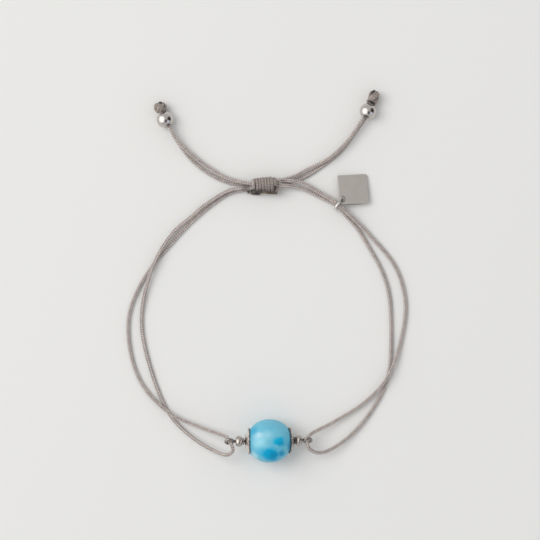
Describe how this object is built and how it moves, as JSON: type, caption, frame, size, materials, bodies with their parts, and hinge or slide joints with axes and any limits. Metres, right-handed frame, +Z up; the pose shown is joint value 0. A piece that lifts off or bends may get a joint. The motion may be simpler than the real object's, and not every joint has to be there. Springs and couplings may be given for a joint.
{
  "type": "cord bracelet",
  "caption": "Sliding-knot cord bracelet: double braided cord, one round bead between two capped eye loops, steel tail beads and a plain square charm.",
  "frame": {"origin": "middle of the bracelet's box on the surface that it lies on, z = 0", "axes": "+Z up from the surface, +Y from the focal bead towards the sliding knot and the tails, +X to the right as seen from above"},
  "size_m": [0.0667, 0.0882, 0.0103],
  "materials": {
    "dyed_stone": "satin polished dyed stone with darker veins",
    "satin_silver": "satin with a fine granulated rim",
    "dark_steel": "dull dark steel",
    "polished_steel": "mirror polished",
    "brushed_steel": "fine satin",
    "braided_cord": "taupe braided cord",
    "knotted_cord": "taupe braided cord, drawn tight and singed at its ends"
  },
  "bodies": {
    "root": {"focal_bead": "dyed_stone", "bead_cap_left": "satin_silver", "bead_cap_right": "satin_silver", "collar_left": "dark_steel", "collar_right": "dark_steel", "spacer_bead_left": "polished_steel", "spacer_bead_right": "polished_steel", "eye_pin": "dark_steel", "sliding_knot": "knotted_cord", "end_bead_left": "polished_steel", "end_bead_right": "polished_steel", "end_knot_left": "knotted_cord", "end_knot_right": "knotted_cord", "jump_ring": "polished_steel", "square_charm": "brushed_steel", "cord_left": "braided_cord", "cord_right": "braided_cord"}
  },
  "joints": []
}
